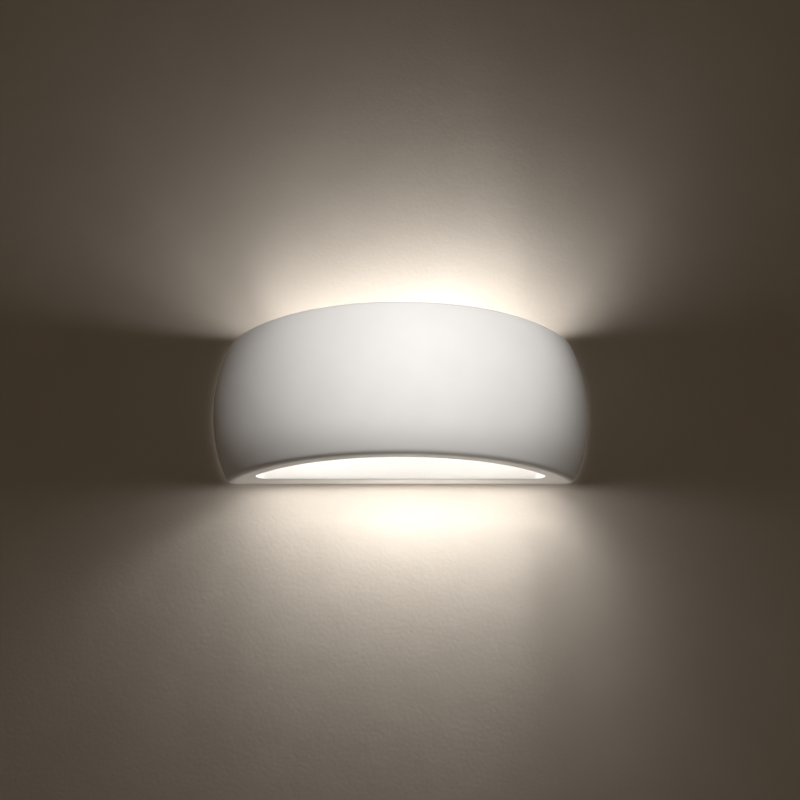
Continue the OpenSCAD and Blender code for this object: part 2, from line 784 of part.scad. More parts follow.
module contact_screws() {
  color("silver") each_pillar()
    pan_screw(2 * screw_r, 4.6, 1.6, (insert_back - pillar_back) / 2 - wire_d / 2 - fit_gap);
}

// Sweeps a round wire along a smooth curve through the points of its route
function unit(v) = v / norm(v);
function between(p, i, t) =
  let (a = p[max(i - 1, 0)], b = p[i], c = p[i + 1], d = p[min(i + 2, len(p) - 1)])
  0.5 * (2 * b + (c - a) * t + (2 * a - 5 * b + 4 * c - d) * t ^ 2 + (3 * b - a - 3 * c + d) * t ^ 3);
function smooth(p, steps) =
  [for (i = [0 : len(p) - 2], k = [0 : steps - 1]) between(p, i, k / steps), p[len(p) - 1]];
function heading(p, i) = unit(p[min(i + 1, len(p) - 1)] - p[max(i - 1, 0)]);
function carried(p, i, side) = i == len(p) ? []
  : let (t = heading(p, i), s = unit(side - (side * t) * t)) concat([[t, s]], carried(p, i + 1, s));

module wire(route, sides = 8) {
  path = smooth(route, 2);
  frames = carried(path, 0, [0, 0.3, 1]);
  points = [for (i = [0 : len(path) - 1], k = [0 : sides - 1])
    path[i] + wire_d / 2 * (cos(k * 360 / sides) * frames[i][1]
                            + sin(k * 360 / sides) * cross(frames[i][0], frames[i][1]))];
  last = (len(path) - 1) * sides;
  walls = [for (i = [0 : len(path) - 2], k = [0 : sides - 1], half = [0, 1])
    let (a = i * sides + k, b = i * sides + (k + 1) % sides)
    half == 0 ? [a, a + sides, b] : [b, a + sides, b + sides]];
  polyhedron(points, concat([[for (k = [0 : sides - 1]) k]], walls,
                            [[for (k = [sides - 1 : -1 : 0]) last + k]]));
}

module line_wire() color("saddlebrown") wire(line_route);
module neutral_wire() color("royalblue") wire(neutral_route);
module earth_wire() color("yellowgreen") wire(earth_route);

// Domed contact at the end of the bulb
module bulb_centre_contact() {
  pip_r = 4.8;
  dome_r = 9;
  color("silver") on_lamp_axis(bulb_x) rotate_extrude() intersection() {
    square([pip_r, contact_l]);
    translate([0, dome_r]) circle(dome_r);
  }
}

module bulb_insulator() {
  color("black") on_lamp_axis(bulb_x + contact_l)
    cylinder(h = insulator_l, r1 = 5.4, r2 = thread_r - 1.5);
}

// Thin pressed screw cap, drawn as its outer cylinder; the rolled thread lies within it
module bulb_screw_cap() {
  foot_u = contact_l + insulator_l;
  color("silver") on_lamp_axis(bulb_x) rotate_extrude() polygon([
    [0, foot_u], [thread_r - 1.5, foot_u], [thread_r, cap_shoulder], [thread_r, screw_cap_l],
    [thread_r - shell_t, screw_cap_l], [thread_r - shell_t, cap_shoulder + shell_t],
    [thread_r - 1.5 - shell_t, foot_u + shell_t], [0, foot_u + shell_t]]);
}

// Plastic housing: spigot in the screw cap, then a trumpet-shaped flare up to the globe
module bulb_housing() {
  spigot_r = thread_r - shell_t - fit_gap;
  spigot_u = screw_cap_l - spigot_l;
  color("white") on_lamp_axis(bulb_x) rotate_extrude() {
    difference() {
      translate([0, screw_cap_l]) square([housing_rim_r, housing_l]);
      translate([neck_r + flare_r, screw_cap_l]) circle(flare_r);
      difference() {
        translate([0, screw_cap_l - past]) square([housing_rim_r, board_u - screw_cap_l + past]);
        translate([neck_r + flare_r, screw_cap_l]) circle(flare_r + housing_wall);
      }
      translate([0, board_u]) square([board_seat_r, rim_u - board_u + past]);
    }
    translate([spigot_r - housing_wall, spigot_u]) square([housing_wall, screw_cap_l - spigot_u]);
    translate([neck_r - housing_wall - 1.5, screw_cap_l]) square([housing_wall + 1, housing_wall]);
  }
}

// Aluminium board with its ring of light chips
module bulb_light_board() {
  chip = [3.5, 2.8, 0.8];
  chip_ring_r = board_r - 5;
  color("gainsboro") on_lamp_axis(bulb_x + board_u) {
    cylinder(h = board_t, r = board_r);
    for (i = [0 : chips - 1]) rotate([0, 0, i * 360 / chips]) translate([chip_ring_r, 0, board_t])
      translate([-chip[0] / 2, -chip[1] / 2, 0]) cube(chip);
  }
}

module bulb_globe() {
  color("ivory") on_lamp_axis(bulb_x) rotate_extrude() difference() {
    intersection() {
      translate([0, globe_u]) circle(bulb_r);
      translate([0, rim_u]) square([bulb_r, bulb_l]);
    }
    translate([0, globe_u]) circle(bulb_r - globe_wall);
  }
}

ceramic_body();
wall_bar();
wall_bar_studs();
cushion_washers();
mounting_bracket();
clamp_washers();
clamp_nuts();
cable_grommet();
terminal_block();
terminal_sleeves();
terminal_clamp_screws();
terminal_fixing_screws();
earth_ring_terminal();
earth_tooth_washer();
earth_screw();
threaded_nipple();
nipple_spring_washer();
nipple_nut();
holder_cap();
holder_insert();
holder_skirt();
holder_thread_shell();
centre_contact();
side_contact();
contact_pillars();
contact_screws();
line_wire();
neutral_wire();
earth_wire();
bulb_centre_contact();
bulb_insulator();
bulb_screw_cap();
bulb_housing();
bulb_light_board();
bulb_globe();
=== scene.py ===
# Finishes and fine forms of a ceramic up-and-down wall light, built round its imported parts.
# Metres, in the frame of the parts: the wall is y = 0, the front faces -Y, +Z is up.
import math

import bmesh
import bpy
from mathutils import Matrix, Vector, noise


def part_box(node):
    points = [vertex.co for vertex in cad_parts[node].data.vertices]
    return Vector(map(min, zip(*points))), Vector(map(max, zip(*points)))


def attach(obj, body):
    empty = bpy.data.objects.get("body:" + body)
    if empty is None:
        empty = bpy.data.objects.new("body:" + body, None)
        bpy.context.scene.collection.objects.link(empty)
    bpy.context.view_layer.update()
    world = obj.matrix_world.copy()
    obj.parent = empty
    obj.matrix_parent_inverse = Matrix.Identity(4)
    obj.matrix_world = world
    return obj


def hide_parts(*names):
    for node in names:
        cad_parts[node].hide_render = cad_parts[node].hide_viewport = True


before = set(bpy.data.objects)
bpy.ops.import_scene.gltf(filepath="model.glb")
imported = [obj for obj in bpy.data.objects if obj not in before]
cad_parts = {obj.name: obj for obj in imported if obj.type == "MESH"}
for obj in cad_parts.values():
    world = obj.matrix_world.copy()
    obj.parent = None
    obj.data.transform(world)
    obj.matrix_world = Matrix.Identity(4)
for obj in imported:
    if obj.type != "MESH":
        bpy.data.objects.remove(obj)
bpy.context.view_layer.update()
mm = 0.001

# Wall bar: pressed steel strip with round ends and a round middle, zinc plated after pressing.
# It is screwed to the wall through its two slots and lies in the channel in the body's back.


def texture_space(nodes, links, stretch=(1, 1, 1)):
    """The piece's own coordinates, in metres, squeezed along any direction in which a grain runs long."""
    place = nodes.new("ShaderNodeTexCoord")
    squeeze = nodes.new("ShaderNodeMapping")
    squeeze.inputs["Scale"].default_value = stretch
    links.new(place.outputs["Object"], squeeze.inputs["Vector"])
    return squeeze.outputs["Vector"]


def clouds(nodes, links, space, size, detail=3.0):
    """Noise with blots about size metres across."""
    blots = nodes.new("ShaderNodeTexNoise")
    blots.inputs["Scale"].default_value = 1 / size
    blots.inputs["Detail"].default_value = detail
    links.new(space, blots.inputs["Vector"])
    return blots.outputs["Fac"]


def spread(nodes, links, value, low, high, start=0.3, end=0.7):
    """Stretches the middle of a noise, so that it runs from low to high."""
    ramp = nodes.new("ShaderNodeMapRange")
    ramp.inputs["From Min"].default_value = start
    ramp.inputs["From Max"].default_value = end
    ramp.inputs["To Min"].default_value = low
    ramp.inputs["To Max"].default_value = high
    links.new(value, ramp.inputs["Value"])
    return ramp.outputs["Result"]


def blend_colours(nodes, links, share, first, second):
    """Goes from the first colour to the second with share."""
    mix = nodes.new("ShaderNodeMix")
    mix.data_type = "RGBA"
    links.new(share, mix.inputs["Factor"])
    mix.inputs[6].default_value = (*first, 1)
    mix.inputs[7].default_value = (*second, 1)
    return mix.outputs[2]


def relief(nodes, links, height, depth, under=None):
    """Relief of a depth in metres, laid over another relief if one is given."""
    bump = nodes.new("ShaderNodeBump")
    bump.inputs["Distance"].default_value = depth
    links.new(height, bump.inputs["Height"])
    if under is not None:
        links.new(under, bump.inputs["Normal"])
    return bump.outputs["Normal"]


def finish(name, light, dark, roughness, metallic=0.0, blot=0.012, grain=0.0006, depth=0.00001,
           stretch=(1, 1, 1), uneven=0.08, waves=None):
    """A finish of two close tones in soft blots, with uneven gloss and a fine grain in relief.
    waves is (size, depth) of a second, softer relief under the grain."""
    material = bpy.data.materials.new(name)
    material.use_nodes = True
    nodes, links = material.node_tree.nodes, material.node_tree.links
    shader = nodes["Principled BSDF"]
    shader.inputs["Metallic"].default_value = metallic
    space = texture_space(nodes, links, stretch)
    blots = clouds(nodes, links, space, blot)
    colour = blend_colours(nodes, links, spread(nodes, links, blots, 0, 1), dark, light)
    links.new(colour, shader.inputs["Base Color"])
    gloss = spread(nodes, links, clouds(nodes, links, space, blot / 3), roughness - uneven,
                   roughness + uneven)
    links.new(gloss, shader.inputs["Roughness"])
    under = relief(nodes, links, clouds(nodes, links, space, waves[0]), waves[1]) if waves else None
    surface = relief(nodes, links, clouds(nodes, links, space, grain, 2.0), depth, under)
    links.new(surface, shader.inputs["Normal"])
    return material


def dress(part, material, width=0.15 * mm):
    """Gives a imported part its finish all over, and breaks its sharp edges by a small width.
    With a width of 0 the part keeps its edges and its own shading."""
    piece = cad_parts[part]
    piece.data.materials.clear()
    piece.data.materials.append(material)
    if width:
        weld = piece.modifiers.new("welded", "WELD")
        weld.merge_threshold = 0.002 * mm
        flat = piece.modifiers.new("whole_faces", "DECIMATE")
        flat.decimate_type = "DISSOLVE"
        flat.angle_limit = math.radians(0.4)
        edge = piece.modifiers.new("broken_edges", "BEVEL")
        edge.width = width
        edge.segments = 2
        edge.limit_method = "ANGLE"
        edge.angle_limit = math.radians(38)
        piece.data.shade_smooth()
        shading = piece.modifiers.new("even_shading", "WEIGHTED_NORMAL")
        shading.mode = "FACE_AREA"
    return piece


rolled_zinc = finish("rolled_zinc", (0.68, 0.70, 0.72), (0.48, 0.51, 0.56), 0.36, metallic=1.0,
                     blot=0.003, grain=0.0005, depth=0.000004, stretch=(0.12, 1, 1))
dress("wall_bar", rolled_zinc, 0.25 * mm)

# Studs: two nickel-plated M4 studs, pressed flush into the back of the bar, with a rolled thread.
# The body hangs on them, and the nuts at their ends clamp it with the bracket.


def make(name, mesh, sharp=35):
    """A new piece from a mesh, shaded smooth but for edges sharper than an angle in degrees."""
    skin = bmesh.new()
    skin.from_mesh(mesh)
    bmesh.ops.recalc_face_normals(skin, faces=skin.faces)
    skin.to_mesh(mesh)
    skin.free()
    mesh.shade_smooth()
    mesh.set_sharp_from_angle(angle=math.radians(sharp))
    piece = bpy.data.objects.new(name, mesh)
    bpy.context.scene.collection.objects.link(piece)
    return piece


def steps(first, last, count):
    """Evenly spaced values from the first to the last, with count spaces between them."""
    return [first + (last - first) * i / count for i in range(count + 1)]


def turned(name, profile, place, along, around=64, ridge=None):
    """A piece turned about an axis, from pairs of distance along it and radius. Its outline closes in
    itself, or starts and ends on the axis. ridge is (from, to, pitch, depth) of a rolled
    right-hand thread."""
    along = Vector(along)
    across = Vector((0, 1, 0)) if along.x else Vector((1, 0, 0))
    up = along.cross(across)
    points, rows = [], []
    for u, r in profile:
        row = []
        for i in range(around if r > 0 else 1):
            radius = r
            if ridge and ridge[0] < u < ridge[1]:
                start, end, pitch, depth = ridge
                run_out = 0.3 * pitch
                fade = min(1, (u - start) / run_out, (end - u) / run_out)
                wave = 0.5 - 0.5 * math.cos(2 * math.pi * (u / pitch - i / around))
                radius -= depth * wave * fade
            angle = 2 * math.pi * i / around
            row.append(len(points))
            outward = across * math.cos(angle) + up * math.sin(angle)
            points.append(Vector(place) + along * u + outward * radius)
        rows.append(row)
    pairs = list(zip(rows, rows[1:]))
    if profile[0][1] > 0:
        pairs.append((rows[-1], rows[0]))
    faces = []
    for a, b in pairs:
        for i in range(around):
            n = (i + 1) % around
            corners = [a[i % len(a)], b[i % len(b)], b[n % len(b)], a[n % len(a)]]
            corners = [c for k, c in enumerate(corners) if c not in corners[:k]]
            if len(corners) > 2:
                faces.append(corners)
    mesh = bpy.data.meshes.new(name)
    mesh.from_pydata(points, [], faces)
    return make(name, mesh)


def joined(name, pieces):
    """One piece out of several."""
    both = bmesh.new()
    for piece in pieces:
        both.from_mesh(piece.data)
    mesh = bpy.data.meshes.new(name)
    both.to_mesh(mesh)
    both.free()
    for piece in pieces:
        bpy.data.objects.remove(piece)
    return make(name, mesh)


def stands_for(piece, part, body, slot, *materials):
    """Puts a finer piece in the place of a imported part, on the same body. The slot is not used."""
    piece.data.materials.clear()
    for material in materials:
        piece.data.materials.append(material)
    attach(piece, body)
    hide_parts(part)


nickel_plate = finish("nickel_plate", (0.74, 0.72, 0.68), (0.60, 0.58, 0.55), 0.24, metallic=1.0,
                      blot=0.003, grain=0.0002, depth=0.000003)
stud_x, stud_r, stud_pitch, stud_ridge = 70 * mm, 2 * mm, 0.7 * mm, 0.36 * mm
stud_head_r, stud_head_t = 3.75 * mm, 1 * mm
stud_len = -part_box("wall_bar_studs")[0].y
stud_tip, stud_break = 0.7 * mm, 0.2 * mm
stud_outline = [(0, 0), (0, stud_head_r - stud_break), (stud_break, stud_head_r),
                (stud_head_t, stud_head_r), (stud_head_t, stud_r)]
stud_outline += [(u, stud_r) for u in steps(2 * stud_head_t, stud_len - stud_tip, 240)]
stud_outline += [(stud_len, stud_r - stud_tip), (stud_len, 0)]
stud_thread = (2 * stud_head_t, stud_len, stud_pitch, stud_ridge)
studs = joined("threaded_studs", [turned("stud", stud_outline, (x, 0, 0), (0, -1, 0), 24, stud_thread)
                                  for x in (-stud_x, stud_x)])
stands_for(studs, "wall_bar_studs", "fixture", "bright_steel", nickel_plate)

# Ceramic body: slip cast in one piece, bisque fired, its rims rubbed round by hand. The front wall is
# turned about an upright axis behind the wall, with one arc for its belly, and the back wall is flat.
# A channel in its back takes the bar, and three holes let the cable and the studs through.
half_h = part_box("ceramic_body")[1].z
half_w, body_d = 160 * mm, 116 * mm
belly = 13.5 * mm
front_wall, back_wall = 12 * mm, 16 * mm
rim_round, corner_round, back_round = 6 * mm, 6 * mm, 2 * mm
corner_draw = 3 * mm
inner_round = 9 * mm
lip_round = 1.3 * mm
edge_x, edge_d = half_w - corner_round, body_d - corner_round
axis_y = (edge_x**2 - edge_d**2 + corner_round**2) / (2 * (edge_d - corner_round))
arc_r = (half_h**2 + belly**2) / (2 * belly)
arc_x = axis_y + body_d - arc_r


def plan_loop(radius, arc_z, depth, back_z, corner, across=22, round_steps=9, along=72):
    """One level line of the body: straight at a depth from the wall, two rounded corners, and an arc."""
    centre_y = -depth - corner
    centre_x = math.sqrt((radius - corner) ** 2 - (axis_y - centre_y) ** 2)
    turn = math.atan2(centre_y - axis_y, centre_x)
    half = [Vector((centre_x * i / across, -depth, back_z)) for i in range(across)]
    for share in steps(0, 1, round_steps)[:-1]:
        angle = math.pi / 2 + (turn - math.pi / 2) * share
        half.append(Vector((centre_x + corner * math.cos(angle),
                            centre_y + corner * math.sin(angle),
                            back_z + (arc_z - back_z) * share)))
    for angle in steps(turn, -math.pi / 2, along):
        half.append(Vector((radius * math.cos(angle), axis_y + radius * math.sin(angle), arc_z)))
    return half + [Vector((-p.x, p.y, p.z)) for p in half[-2:0:-1]]


def barrel_r(inset, z):
    """Radius of the barrel's surface at a height, drawn in by an inset."""
    return arc_x + math.sqrt((arc_r - inset) ** 2 - z**2)


def upper_rows():
    """Level lines from the middle of the outside, over the upper rim, to the middle of the inside."""
    rows = []
    mid_z = half_h - rim_round
    mid_r = barrel_r(rim_round, mid_z)
    lean = math.atan2(mid_z, mid_r - arc_x)
    top_z = mid_z + rim_round * math.sin(lean)
    for z in steps(0, top_z, 26)[:-1]:
        rows.append((barrel_r(0, z), z, 0, z * (half_h - back_round) / top_z, corner_round))
    for share in steps(0, 1, 7):
        angle = lean + (math.pi / 2 - lean) * share
        flat = math.pi / 2 * share
        rows.append((mid_r + rim_round * math.cos(angle), mid_z + rim_round * math.sin(angle),
                     back_round * (1 - math.cos(flat)), half_h - back_round * (1 - math.sin(flat)),
                     corner_round - corner_draw * share))
    lip_z = half_h - lip_round
    lip_r = barrel_r(front_wall - lip_round, lip_z)
    slope = math.atan2(lip_z, lip_r - arc_x)
    rim_in = (lip_r, half_h, back_wall - lip_round, half_h, inner_round + lip_round)
    rim_out = rows[-1]
    for share in steps(0, 1, 6)[1:-1]:
        rows.append(tuple(a + (b - a) * share for a, b in zip(rim_out, rim_in)))
    for share in steps(0, 1, 5):
        angle = math.pi / 2 + (math.pi / 2 + slope) * share
        flat = math.pi / 2 * (1 + share)
        rows.append((lip_r + lip_round * math.cos(angle), lip_z + lip_round * math.sin(angle),
                     back_wall - lip_round - lip_round * math.cos(flat),
                     lip_z + lip_round * math.sin(flat), inner_round + lip_round * (1 - share)))
    low_arc, low_back = rows[-1][1], rows[-1][3]
    for share in steps(0, 1, 22)[1:]:
        z = low_arc * (1 - share)
        rows.append((barrel_r(front_wall, z), z, back_wall, low_back * (1 - share), inner_round))
    return rows


def skin_through(name, loops):
    """A closed skin through closed level lines, the last joined to the first."""
    count = len(loops[0])
    faces = []
    for j in range(len(loops)):
        k = (j + 1) % len(loops)
        for i in range(count):
            n = (i + 1) % count
            faces.append((j * count + i, k * count + i, k * count + n, j * count + n))
    mesh = bpy.data.meshes.new(name)
    mesh.from_pydata([p for loop in loops for p in loop], [], faces)
    return mesh


def round_outline(radius, count=64):
    """Points evenly round a circle."""
    return [(radius * math.cos(a), radius * math.sin(a)) for a in steps(0, 2 * math.pi, count)[:-1]]


def slot_outline(length, height, count=32):
    """A level slot with round ends, by its length over the ends."""
    reach, r = (length - height) / 2, height / 2
    right = [(reach + r * math.cos(a), r * math.sin(a)) for a in steps(-math.pi / 2, math.pi / 2, count)]
    return right + [(-x, -z) for x, z in right]


def plug(outline, x, near, far):
    """A solid with that outline, from one depth to another, for cutting into the back wall."""
    count = len(outline)
    points = [(x + u, -d, v) for d in (near, far) for u, v in outline]
    faces = [tuple(range(count)), tuple(range(2 * count - 1, count - 1, -1))]
    faces += [(i, i + count, (i + 1) % count + count, (i + 1) % count) for i in range(count)]
    mesh = bpy.data.meshes.new("plug")
    mesh.from_pydata(points, [], faces)
    return make("plug", mesh)


def cut(piece, tools):
    """Cuts the tools out of a piece."""
    for tool in tools:
        hole = piece.modifiers.new("hole", "BOOLEAN")
        hole.operation = "DIFFERENCE"
        hole.solver = "MANIFOLD"
        hole.object = tool
    bpy.context.view_layer.update()
    carved = bpy.data.meshes.new_from_object(piece.evaluated_get(bpy.context.evaluated_depsgraph_get()))
    piece.modifiers.clear()
    piece.data = carved
    for tool in tools:
        bpy.data.objects.remove(tool)


half_rows = upper_rows()
lower_rows = [(r, -z, d, -zb, c) for r, z, d, zb, c in half_rows[-2:0:-1]]
body_mesh = skin_through("cast_body", [plan_loop(*row) for row in half_rows + lower_rows])
hand_rubbed, flat_back = 0.14 * mm, 20 * mm
wide_swell, small_swell = 45 * mm, 14 * mm
for vertex in body_mesh.vertices:
    front = min(1.0, max(0.0, (-vertex.co.y - flat_back) / flat_back))
    swell = 0.5 + 0.4 * noise.noise(vertex.co / wide_swell) + 0.1 * noise.noise(vertex.co / small_swell)
    vertex.co -= vertex.normal * hand_rubbed * swell * front
ceramic_body = make("cast_body", body_mesh)
bar_room, bar_end, bar_half_h, bar_hub_r = 1.5 * mm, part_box("wall_bar")[1].x, 12 * mm, 23 * mm
channel_d, cable_hole_r, stud_hole_r, past = 6 * mm, 15 * mm, 3.5 * mm, 1 * mm
cut(ceramic_body, [
    plug(slot_outline(2 * (bar_end + bar_room), 2 * (bar_half_h + bar_room)), 0, -past, channel_d),
    plug(round_outline(bar_hub_r + bar_room, 96), 0, -past, channel_d),
    plug(round_outline(cable_hole_r), 0, 0, back_wall + past),
    plug(round_outline(stud_hole_r, 32), -stud_x, 0, back_wall + past),
    plug(round_outline(stud_hole_r, 32), stud_x, 0, back_wall + past),
])
ceramic_body.data.shade_smooth()
ceramic_body.data.set_sharp_from_angle(angle=math.radians(40))
bisque = finish("bisque", (0.85, 0.84, 0.825), (0.825, 0.815, 0.80), 0.74, blot=0.03, grain=0.0008,
                depth=0.00002, uneven=0.06, waves=(0.006, 0.00004))
stands_for(ceramic_body, "ceramic_body", "fixture", "ceramic", bisque)

# Cushion washers: two black rubber rings between body and bracket, so that the clamped ceramic
# can't crack. The cable grommet, of the same rubber, is pushed into the bracket's middle hole.
rubber = finish("rubber", (0.035, 0.035, 0.036), (0.02, 0.02, 0.021), 0.62, blot=0.002, grain=0.0004,
                depth=0.00001)
dress("cushion_washers", rubber, 0.2 * mm)
dress("cable_grommet", rubber, 0.3 * mm)

# Mounting bracket: 2 mm steel sheet, cut, folded once and powder coated white. It presses the body
# against the bar, carries the terminal block on its tab and the lampholder on its arm.
powder_coat = finish("powder_coat", (0.80, 0.80, 0.78), (0.76, 0.76, 0.74), 0.42, blot=0.01,
                     grain=0.0012, depth=0.00004)
dress("mounting_bracket", powder_coat, 0.3 * mm)

# Clamp washers and knurled thumb nuts: they hold bracket and body on the studs, and come off by hand
# when the lamp is taken from the wall. Zinc-plated washers, nickel-plated nuts turned from bar.
zinc_plate = finish("zinc_plate", (0.66, 0.68, 0.70), (0.50, 0.53, 0.58), 0.32, metallic=1.0,
                    blot=0.004, grain=0.0003, depth=0.000004)
dress("clamp_washers", zinc_plate, 0.1 * mm)
dress("clamp_nuts", nickel_plate, 0.08 * mm)

# Terminal block: three poles of moulded natural polyamide, each with a brass sleeve and two slotted
# screws. Two longer screws hold it on the bracket's tab.
polyamide = finish("polyamide", (0.80, 0.78, 0.70), (0.75, 0.73, 0.65), 0.42, blot=0.006,
                   grain=0.0005, depth=0.00001)
raw_brass = finish("raw_brass", (0.78, 0.58, 0.26), (0.60, 0.41, 0.17), 0.3, metallic=1.0,
                   blot=0.003, grain=0.0003, depth=0.000004)
dress("terminal_block", polyamide, 0.25 * mm)
dress("terminal_sleeves", raw_brass, 0.1 * mm)
dress("terminal_clamp_screws", nickel_plate, 0.06 * mm)
dress("terminal_fixing_screws", nickel_plate, 0.08 * mm)

# Earth connection: a tinned ring terminal, crimped on the earth wire, under a toothed washer and a
# zinc-plated screw in the bracket.
tin_plate = finish("tin_plate", (0.70, 0.70, 0.67), (0.54, 0.54, 0.52), 0.38, metallic=1.0,
                   blot=0.002, grain=0.0003, depth=0.000005)
dress("earth_ring_terminal", tin_plate, 0.1 * mm)
dress("earth_tooth_washer", zinc_plate, 0.05 * mm)
dress("earth_screw", zinc_plate, 0.1 * mm)

# Nipple: a hollow M10 steel tube, threaded all along, that clamps the lampholder to the arm with a
# split spring washer and a hexagon nut. The two wires run through its bore.
nipple_low, nipple_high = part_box("threaded_nipple")
nipple_r, nipple_bore_r, nipple_pitch, nipple_ridge = 5 * mm, 4 * mm, 1 * mm, 0.5 * mm
nipple_len = nipple_high.x - nipple_low.x
nipple_ends = 0.3 * mm
lamp_y = -61 * mm
nipple_outline = [(nipple_len, nipple_bore_r), (0, nipple_bore_r), (0, nipple_r - nipple_ridge)]
nipple_outline += [(u, nipple_r) for u in steps(nipple_ends, nipple_len - nipple_ends, 150)]
nipple_outline += [(nipple_len, nipple_r - nipple_ridge)]
nipple = turned("nipple_tube", nipple_outline, (nipple_low.x, lamp_y, 0), (1, 0, 0), 48,
                (0, nipple_len, nipple_pitch, nipple_ridge))
stands_for(nipple, "threaded_nipple", "fixture", "zinc_steel", zinc_plate)
dress("nipple_spring_washer", zinc_plate, 0.08 * mm)
dress("nipple_nut", zinc_plate, 0.25 * mm)

# Lampholder: cap and skirt moulded in white plastic, round a porcelain insert with brass contacts.
# The thread shell is pressed from thin brass sheet with the same rolled thread as the lamp's cap.
moulded_white = finish("moulded_white", (0.82, 0.81, 0.78), (0.79, 0.78, 0.75), 0.34, blot=0.008,
                       grain=0.0007, depth=0.000001, uneven=0.03)
steatite = finish("steatite", (0.80, 0.77, 0.71), (0.74, 0.70, 0.63), 0.55, blot=0.003, grain=0.0004,
                  depth=0.00002)
dress("holder_cap", moulded_white, 0)
dress("holder_skirt", moulded_white, 0)
dress("holder_insert", steatite, 0)
for contact in ("centre_contact", "side_contact", "contact_pillars"):
    dress(contact, raw_brass, 0.08 * mm)
dress("contact_screws", nickel_plate, 0.06 * mm)
inch, turns_to_inch = 25.4, 7
thread_pitch = inch / turns_to_inch * mm
thread_depth = 0.9 * mm
tip_x = -54 * mm
lamp_thread_r = 13.05 * mm
shell_gap, shell_t = 0.3 * mm, 0.4 * mm
shell_low, shell_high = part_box("holder_thread_shell")
shell_from, shell_to = shell_low.x - tip_x, shell_high.x - tip_x
shell_bore_r = lamp_thread_r + shell_gap
shell_lip_r = 10 * mm
thread_from, thread_to = 2 * mm, 19 * mm
shell_outline = [(shell_from, shell_lip_r), (shell_from, shell_bore_r + shell_t)]
shell_outline += [(u, shell_bore_r + shell_t) for u in steps(thread_from, thread_to, 70)]
shell_outline += [(shell_to, shell_bore_r + shell_t), (shell_to, shell_bore_r)]
shell_outline += [(u, shell_bore_r) for u in steps(thread_to, thread_from, 70)]
shell_outline += [(shell_from + shell_t, shell_bore_r), (shell_from + shell_t, shell_lip_r)]
shell = turned("thread_shell", shell_outline, (tip_x, lamp_y, 0), (1, 0, 0), 96,
               (thread_from, thread_to, thread_pitch, thread_depth))
stands_for(shell, "holder_thread_shell", "fixture", "brass", raw_brass)

# Wires: stranded copper in smooth insulation. Brown and blue run from the terminal block through the
# nipple to the holder's pillars, and green with a yellow stripe runs to the ring terminal.
line_way = [(-3, -24, 44), (-14, -24, 44), (-32, -25, 43), (-60, -27, 38), (-84, -33, 28),
            (-98, -44, 16), (-101, -54, 6), (-97, -60.5, 1.5), (-90, -61, 1.4), (-76, -61, 1.4),
            (-72, -61, 2.8), (-71, -61, 6), (-71, -61, 14)]
neutral_way = [(-3, -24, 34), (-14, -24, 34), (-32, -24.5, 33), (-60, -27, 29), (-84, -33, 20),
               (-95, -42, 9), (-98, -52, 1), (-95, -59.5, -1.5), (-89, -61, -1.4), (-76, -61, -1.4),
               (-72, -61, -2.8), (-71, -61, -6), (-71, -61, -12)]
earth_way = [(-3, -24, 24), (-11, -24, 24), (-16, -24, 21), (-17, -23.5, 14), (-17, -22.5, 7),
             (-20, -21.8, 2), (-25, -21.7, 0), (-29, -21.7, 0)]
wire_r = 1.1 * mm


def smooth_way(points, between=8):
    """A smooth curve through all the points."""
    points = [Vector(p) * mm for p in points]
    way = []
    for i in range(len(points) - 1):
        a, b, c, d = (points[min(max(k, 0), len(points) - 1)] for k in (i - 1, i, i + 1, i + 2))
        for t in steps(0, 1, between)[:-1]:
            way.append(0.5 * (2 * b + (c - a) * t + (2 * a - 5 * b + 4 * c - d) * t**2
                              + (3 * b - a - 3 * c + d) * t**3))
    return way + [points[-1]]


def wire(name, points, striped=0, around=16):
    """A round wire along a way, closed at both ends. Its first sides get the stripe's colour."""
    way = smooth_way(points)
    side = Vector((0, 0.3, 1))
    rings = []
    for i, centre in enumerate(way):
        ahead = (way[min(i + 1, len(way) - 1)] - way[max(i - 1, 0)]).normalized()
        side = (side - ahead * side.dot(ahead)).normalized()
        other = ahead.cross(side)
        rings += [centre + (side * math.cos(a) + other * math.sin(a)) * wire_r
                  for a in steps(0, 2 * math.pi, around)[:-1]]
    faces = [(i * around + k, i * around + (k + 1) % around, (i + 1) * around + (k + 1) % around,
              (i + 1) * around + k) for i in range(len(way) - 1) for k in range(around)]
    last = (len(way) - 1) * around
    faces += [tuple(range(around)), tuple(range(last, last + around))]
    mesh = bpy.data.meshes.new(name)
    mesh.from_pydata(rings, [], faces)
    piece = make(name, mesh, sharp=60)
    for face in piece.data.polygons[:len(faces) - 2]:
        face.material_index = 1 if face.index % around < striped else 0
    return piece


brown_cover = finish("brown_cover", (0.20, 0.085, 0.035), (0.16, 0.065, 0.025), 0.36, blot=0.004)
blue_cover = finish("blue_cover", (0.04, 0.13, 0.50), (0.03, 0.10, 0.42), 0.36, blot=0.004)
green_cover = finish("green_cover", (0.07, 0.36, 0.06), (0.05, 0.30, 0.05), 0.36, blot=0.004)
yellow_cover = finish("yellow_cover", (0.80, 0.62, 0.05), (0.74, 0.56, 0.04), 0.36, blot=0.004)
stands_for(wire("brown_wire", line_way), "line_wire", "fixture", "brown_insulation", brown_cover)
stands_for(wire("blue_wire", neutral_way), "neutral_wire", "fixture", "blue_insulation", blue_cover)
stands_for(wire("striped_wire", earth_way, striped=6), "earth_wire", "fixture", "earth_insulation",
           green_cover, yellow_cover)

